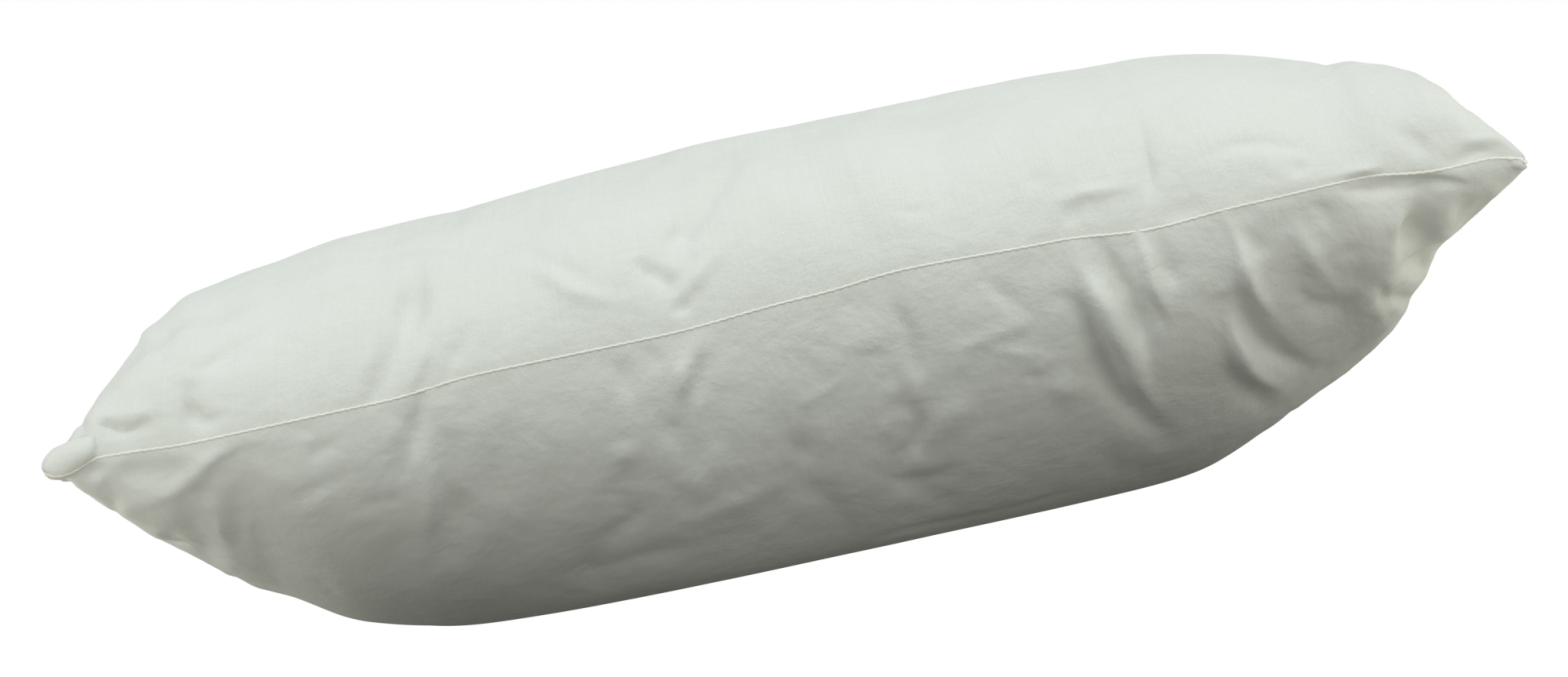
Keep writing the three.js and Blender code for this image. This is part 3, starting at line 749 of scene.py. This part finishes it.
edgeSeam = {
    'thickness': 1,          # mm
    'pitch': 2.75,           # mm from one bump to the next
    'bumpDepth': 0.18,       # share of the radius
    'around': 8,
    'stepsPerBump': 5,
    'standOut': -0.24,       # mm from the cover's edge to the middle of the ridge
    'smoothing': 6,
}


# The vertices of the sewn edge, one after the other
def seamLoop(mesh):
    nextTo = {}
    for a, b in sewnPairs(mesh):
        nextTo.setdefault(int(a), []).append(int(b))
        nextTo.setdefault(int(b), []).append(int(a))
    first = min(nextTo)
    loop = [first]
    before, here = first, nextTo[first][0]
    while here != first:
        loop.append(here)
        a, b = nextTo[here]
        before, here = here, (b if a == before else a)
    return loop


def sewEdge(cover):
    look = edgeSeam
    loop = seamLoop(cover.data)
    path = readPoints(cover.data)[loop]
    outward = readNormals(cover.data)[loop]
    for _ in range(look['smoothing']):
        path = (np.roll(path, 1, 0) + 2 * path + np.roll(path, -1, 0)) / 4
        outward = (np.roll(outward, 1, 0) + 2 * outward + np.roll(outward, -1, 0)) / 4
    closed = np.vstack([path, path[:1]])
    run = np.concatenate([[0], np.cumsum(np.linalg.norm(np.diff(closed, axis=0), axis=1))])
    bumps = round(run[-1] / look['pitch'])
    rings = bumps * look['stepsPerBump']
    at = np.arange(rings) / rings * run[-1]
    closedOut = np.vstack([outward, outward[:1]])
    centre = np.stack([np.interp(at, run, closed[:, k]) for k in range(3)], -1)
    out = np.stack([np.interp(at, run, closedOut[:, k]) for k in range(3)], -1)
    ahead = np.roll(centre, -1, 0) - np.roll(centre, 1, 0)
    ahead /= np.linalg.norm(ahead, axis=1)[:, None]
    out -= ahead * (out * ahead).sum(1)[:, None]
    out /= np.linalg.norm(out, axis=1)[:, None]
    sideways = np.cross(ahead, out)
    centre += out * look['standOut']

    deselectAll()
    bpy.ops.mesh.primitive_grid_add(x_subdivisions=look['around'], y_subdivisions=rings, size=1)
    bead = bpy.context.object
    bead.name = 'edgeSeam'
    bead.data.name = 'edgeSeam'
    flat = readPoints(bead.data) / 1000 + 0.5
    turn = np.rint(flat[:, 0] * look['around']).astype(int) % look['around']
    ring = np.rint(flat[:, 1] * rings).astype(int) % rings
    angle = turn / look['around'] * 2 * pi
    twist = ring / look['stepsPerBump'] * pi
    radius = look['thickness'] / 2 * (1 + look['bumpDepth'] * np.cos(2 * (angle - twist)))
    points = centre[ring] + (radius * np.cos(angle))[:, None] * out[ring]
    points += (radius * np.sin(angle))[:, None] * sideways[ring]
    points[:, 2] = np.maximum(points[:, 2], 0)
    writePoints(bead.data, points)
    closeSeams()
    bpy.ops.object.shade_smooth()
    print('edge seam', bumps, 'bumps over', round(run[-1]), 'mm')
    return bead


edge = sewEdge(cover)

# Cotton

cottonLook = {
    'colour': (0.805, 0.825, 0.775, 1),
    'shadeColour': (0.76, 0.78, 0.715, 1),       # where handling has yellowed it a little
    'roughness': 0.85,
    'sheen': 0.06,
    'threadsPerMm': 3,
    'weaveHeight': 0.00003,                      # m
    'creaseHeight': 0.0022,
    'mottleScale': 16,
    'mottleShare': 0.5,
    'slubShare': 0.9,
}

seamLook = {
    'colour': (0.96, 0.95, 0.88, 1),
    'shadeColour': (0.88, 0.87, 0.78, 1),
    'roughness': 0.75,
    'mottleScale': 300,
    'fuzzHeight': 0.0002,
    'fuzzScale': 1800,
    'fuzzDetail': 2,
}


def newGroup(name, inputs, outputs):
    group = bpy.data.node_groups.new(name, 'ShaderNodeTree')
    for label, kind, value in inputs:
        socket = group.interface.new_socket(label, in_out='INPUT', socket_type=kind)
        if value is not None:
            socket.default_value = value
    for label, kind in outputs:
        group.interface.new_socket(label, in_out='OUTPUT', socket_type=kind)
    return group, group.nodes.new('NodeGroupInput'), group.nodes.new('NodeGroupOutput')


def mathNode(tree, operation, a, b=None):
    node = tree.nodes.new('ShaderNodeMath')
    node.operation = operation
    for socket, value in zip(node.inputs, (a, b)):
        if value is None:
            continue
        if isinstance(value, (int, float)):
            socket.default_value = value
        else:
            tree.links.new(value, socket)
    return node.outputs[0]


def noiseNode(tree, vector, scale, detail, roughness=0.5, distortion=0, kind='FBM'):
    node = tree.nodes.new('ShaderNodeTexNoise')
    node.noise_type = kind
    node.inputs['Scale'].default_value = scale
    node.inputs['Detail'].default_value = detail
    node.inputs['Roughness'].default_value = roughness
    node.inputs['Distortion'].default_value = distortion
    tree.links.new(vector, node.inputs['Vector'])
    return node.outputs[0]


# Spreads the values in a range over 0 to 1
def spreadNode(tree, value, between):
    node = tree.nodes.new('ShaderNodeMapRange')
    node.inputs['From Min'].default_value = between[0]
    node.inputs['From Max'].default_value = between[1]
    tree.links.new(value, node.inputs['Value'])
    return node.outputs[0]


# Plain weave: threads pass over and under each other, and each thread is a little uneven. slubs are the
# cells of noise along and across the cloth for the threads of either direction
weaveLook = {'slubs': ((6, 420), (700, 5)), 'slubDetail': 1}


def weaveGroup():
    inputs = [('Cut', 'NodeSocketVector', None), ('Threads Along', 'NodeSocketFloat', 1000),
              ('Threads Across', 'NodeSocketFloat', 1000)]
    outputs = [('Height', 'NodeSocketFloat'), ('Slub', 'NodeSocketFloat')]
    group, given, result = newGroup('plainWeave', inputs, outputs)
    split = group.nodes.new('ShaderNodeSeparateXYZ')
    group.links.new(given.outputs['Cut'], split.inputs[0])
    along = mathNode(group, 'MULTIPLY', split.outputs['X'], given.outputs['Threads Along'])
    across = mathNode(group, 'MULTIPLY', split.outputs['Y'], given.outputs['Threads Across'])
    waveAlong = mathNode(group, 'SINE', mathNode(group, 'MULTIPLY', along, pi))
    waveAcross = mathNode(group, 'SINE', mathNode(group, 'MULTIPLY', across, pi))
    group.links.new(mathNode(group, 'MULTIPLY', waveAlong, waveAcross), result.inputs['Height'])
    slubs = []
    for cellsAlong, cellsAcross in weaveLook['slubs']:
        stretch = group.nodes.new('ShaderNodeCombineXYZ')
        group.links.new(mathNode(group, 'MULTIPLY', split.outputs['X'], cellsAlong), stretch.inputs['X'])
        group.links.new(mathNode(group, 'MULTIPLY', split.outputs['Y'], cellsAcross), stretch.inputs['Y'])
        slubs.append(noiseNode(group, stretch.outputs[0], 1, weaveLook['slubDetail']))
    group.links.new(mathNode(group, 'ADD', slubs[0], slubs[1]), result.inputs['Slub'])
    return group


# Fine creases that are too small for the mesh: a soft crumple, with short sharp lines in some patches
creaseLook = {
    'crumple': {'scale': 42, 'detail': 5, 'roughness': 0.56, 'distortion': 0.15},
    'lines': {'scale': 34, 'detail': 2, 'roughness': 0.6, 'distortion': 0.3, 'kind': 'RIDGED_MULTIFRACTAL'},
    'patches': {'scale': 14, 'detail': 1},
    'patchEdge': (0.45, 0.65),
    'lineShare': 0.1,
}


def creaseGroup():
    inputs = [('Place', 'NodeSocketVector', None)]
    group, given, result = newGroup('fineCreases', inputs, [('Height', 'NodeSocketFloat')])
    place = given.outputs['Place']
    crumple = noiseNode(group, place, **creaseLook['crumple'])
    lines = noiseNode(group, place, **creaseLook['lines'])
    patches = spreadNode(group, noiseNode(group, place, **creaseLook['patches']), creaseLook['patchEdge'])
    sharp = mathNode(group, 'MULTIPLY', lines, patches)
    total = mathNode(group, 'ADD', crumple, mathNode(group, 'MULTIPLY', sharp, creaseLook['lineShare']))
    group.links.new(total, result.inputs['Height'])
    return group


# Soft uneven mask for colour: broad clouds with a little grain
mottleLook = {'detail': 4, 'roughness': 0.55, 'spread': (0.32, 0.72)}


def mottleGroup():
    inputs = [('Place', 'NodeSocketVector', None), ('Scale', 'NodeSocketFloat', 14)]
    group, given, result = newGroup('softMottle', inputs, [('Mask', 'NodeSocketFloat')])
    node = group.nodes.new('ShaderNodeTexNoise')
    node.inputs['Detail'].default_value = mottleLook['detail']
    node.inputs['Roughness'].default_value = mottleLook['roughness']
    group.links.new(given.outputs['Place'], node.inputs['Vector'])
    group.links.new(given.outputs['Scale'], node.inputs['Scale'])
    group.links.new(spreadNode(group, node.outputs[0], mottleLook['spread']), result.inputs['Mask'])
    return group


weave = weaveGroup()
creases = creaseGroup()
mottle = mottleGroup()


def placeGroup(tree, group, values=None):
    node = tree.nodes.new('ShaderNodeGroup')
    node.node_tree = group
    for label, value in (values or {}).items():
        node.inputs[label].default_value = value
    return node


def colourMix(tree, factor, first, second):
    node = tree.nodes.new('ShaderNodeMix')
    node.data_type = 'RGBA'
    node.inputs[6].default_value = first
    node.inputs[7].default_value = second
    tree.links.new(factor, node.inputs[0])
    return node.outputs[2]


def bumpNode(tree, height, distance, below=None):
    node = tree.nodes.new('ShaderNodeBump')
    node.inputs['Distance'].default_value = distance
    tree.links.new(height, node.inputs['Height'])
    if below is not None:
        tree.links.new(below, node.inputs['Normal'])
    return node.outputs[0]


def cottonMaterial():
    look = cottonLook
    material = bpy.data.materials.new('cotton')
    material.use_nodes = True
    tree = material.node_tree
    shader = tree.nodes['Principled BSDF']
    shader.inputs['Roughness'].default_value = look['roughness']
    shader.inputs['Sheen Weight'].default_value = look['sheen']
    place = tree.nodes.new('ShaderNodeTexCoord')
    threads = placeGroup(tree, weave, {
        'Threads Along': look['threadsPerMm'] * filledForm['cutLength'],
        'Threads Across': look['threadsPerMm'] * filledForm['cutWidth'],
    })
    tree.links.new(place.outputs['UV'], threads.inputs['Cut'])
    crease = placeGroup(tree, creases)
    tree.links.new(place.outputs['Object'], crease.inputs['Place'])
    clouds = placeGroup(tree, mottle, {'Scale': look['mottleScale']})
    tree.links.new(place.outputs['Object'], clouds.inputs['Place'])
    slub = mathNode(tree, 'SUBTRACT', threads.outputs['Slub'], 1)
    slub = mathNode(tree, 'MULTIPLY', slub, look['slubShare'])
    cloudy = mathNode(tree, 'MULTIPLY', clouds.outputs['Mask'], look['mottleShare'])
    factor = mathNode(tree, 'ADD', cloudy, slub)
    tree.links.new(colourMix(tree, factor, look['colour'], look['shadeColour']), shader.inputs['Base Color'])
    creased = bumpNode(tree, crease.outputs['Height'], look['creaseHeight'])
    woven = bumpNode(tree, threads.outputs['Height'], look['weaveHeight'], creased)
    tree.links.new(woven, shader.inputs['Normal'])
    return material


def seamMaterial():
    look = seamLook
    material = bpy.data.materials.new('seamThread')
    material.use_nodes = True
    tree = material.node_tree
    shader = tree.nodes['Principled BSDF']
    shader.inputs['Roughness'].default_value = look['roughness']
    place = tree.nodes.new('ShaderNodeTexCoord')
    clouds = placeGroup(tree, mottle, {'Scale': look['mottleScale']})
    tree.links.new(place.outputs['Object'], clouds.inputs['Place'])
    tree.links.new(colourMix(tree, clouds.outputs['Mask'], look['colour'], look['shadeColour']),
                   shader.inputs['Base Color'])
    fuzz = noiseNode(tree, place.outputs['Object'], look['fuzzScale'], look['fuzzDetail'])
    tree.links.new(bumpNode(tree, fuzz, look['fuzzHeight']), shader.inputs['Normal'])
    return material


for piece, material in ((cover, cottonMaterial()), (edge, seamMaterial())):
    piece.data.materials.clear()
    piece.data.materials.append(material)
    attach(piece, 'root')
print('materials made')

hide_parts('cushion_body')

# Floor, light and camera

stageLook = {
    'floorSize': 60,
    'paintedShadowGlow': 0.12,       # painted shadow: a dim glow, no lamp, standing for the pale floor's bounce beside the cushion, where it shades the floor
    'paintedBounceGlow': 1.1,         # painted bounce light: the floor glows brighter beyond the ends, where nothing shades it
    'paintedShadowEdge': (0.12, 0.42),  # m from the middle at which the painted shadow turns into the painted bounce light
    'paintedBounceColour': (1, 0.985, 0.89, 1),
    'backdropColour': (1, 1, 1, 1),
    'ambient': 0.66,
    'ambientColour': (0.98, 1, 0.995, 1),
    'lightsAimAt': (0, 0, 0.07),
}
keyLight = {'place': (0.05, -0.75, 1.25), 'size': (0.9, 0.7), 'power': 5.2, 'colour': (0.9, 0.975, 1)}
frontLight = {'place': (1.1, -1.75, 0.35), 'size': (1.2, 0.8), 'power': 4.55, 'colour': (0.99, 1, 0.93)}


def layFloor():
    deselectAll()
    bpy.ops.mesh.primitive_plane_add(size=stageLook['floorSize'])
    floor = bpy.context.object
    floor.name = 'floor'
    material = bpy.data.materials.new('paleFloor')
    material.use_nodes = True
    nodes = material.node_tree.nodes
    links = material.node_tree.links
    nodes.remove(nodes['Principled BSDF'])
    # The camera sees the floor evenly bright white. Every other ray meets painted light: the floor glows,
    # though it is no lamp, as warm painted bounce light, dimmed near the middle as painted shadow of the
    # cushion.
    rays = nodes.new('ShaderNodeLightPath')
    paintedBounceLight = nodes.new('ShaderNodeEmission')
    paintedBounceLight.inputs['Color'].default_value = stageLook['paintedBounceColour']
    place = nodes.new('ShaderNodeTexCoord')
    split = nodes.new('ShaderNodeSeparateXYZ')
    links.new(place.outputs['Object'], split.inputs[0])
    paintedShadowRamp = nodes.new('ShaderNodeMapRange')
    paintedShadowRamp.interpolation_type = 'SMOOTHSTEP'
    paintedShadowRamp.inputs['From Min'].default_value = stageLook['paintedShadowEdge'][0]
    paintedShadowRamp.inputs['From Max'].default_value = stageLook['paintedShadowEdge'][1]
    paintedShadowRamp.inputs['To Min'].default_value = stageLook['paintedShadowGlow']
    paintedShadowRamp.inputs['To Max'].default_value = stageLook['paintedBounceGlow']
    links.new(mathNode(material.node_tree, 'ABSOLUTE', split.outputs['X']), paintedShadowRamp.inputs['Value'])
    links.new(paintedShadowRamp.outputs[0], paintedBounceLight.inputs['Strength'])
    bright = nodes.new('ShaderNodeEmission')
    bright.inputs['Strength'].default_value = 1
    mix = nodes.new('ShaderNodeMixShader')
    links.new(rays.outputs['Is Camera Ray'], mix.inputs[0])
    links.new(paintedBounceLight.outputs[0], mix.inputs[1])
    links.new(bright.outputs[0], mix.inputs[2])
    links.new(mix.outputs[0], nodes['Material Output'].inputs['Surface'])
    floor.data.materials.append(material)


def setWorld():
    world = bpy.data.worlds.new('studio')
    bpy.context.scene.world = world
    world.use_nodes = True
    nodes = world.node_tree.nodes
    links = world.node_tree.links
    rays = nodes.new('ShaderNodeLightPath')
    backdrop = nodes.new('ShaderNodeBackground')
    around = nodes['Background']
    around.inputs['Color'].default_value = stageLook['ambientColour']
    around.inputs['Strength'].default_value = stageLook['ambient']
    backdrop.inputs['Color'].default_value = stageLook['backdropColour']
    mix = nodes.new('ShaderNodeMixShader')
    links.new(rays.outputs['Is Camera Ray'], mix.inputs[0])
    links.new(around.outputs[0], mix.inputs[1])
    links.new(backdrop.outputs[0], mix.inputs[2])
    links.new(mix.outputs[0], nodes['World Output'].inputs['Surface'])


def hangLight(name, look):
    place = Vector(look['place'])
    aim = Vector(stageLook['lightsAimAt']) - place
    bpy.ops.object.light_add(type='AREA', location=place)
    lamp = bpy.context.object
    lamp.name = name
    lamp.rotation_euler = aim.to_track_quat('-Z', 'Y').to_euler()
    lamp.data.shape = 'RECTANGLE'
    lamp.data.size = look['size'][0]
    lamp.data.size_y = look['size'][1]
    lamp.data.energy = look['power']
    lamp.data.color = look['colour']


def placeCamera():
    place = cameraPlace
    bpy.ops.object.camera_add(location=(place['x'] / 1000, place['y'] / 1000, place['z'] / 1000))
    camera = bpy.context.object
    level = Vector((0, 1, 0)).to_track_quat('-Z', 'Y')
    camera.rotation_mode = 'QUATERNION'
    camera.rotation_quaternion = level @ Quaternion((0, 0, -1), radians(place['roll']))
    camera.data.sensor_width = place['sensorWidth']
    camera.data.lens = place['sensorWidth'] / 2 / place['halfView']
    bpy.context.scene.camera = camera


layFloor()
setWorld()
hangLight('keyLight', keyLight)
hangLight('frontLight', frontLight)
placeCamera()
bpy.context.scene.view_settings.view_transform = 'Standard'
print('stage, lights and camera placed')
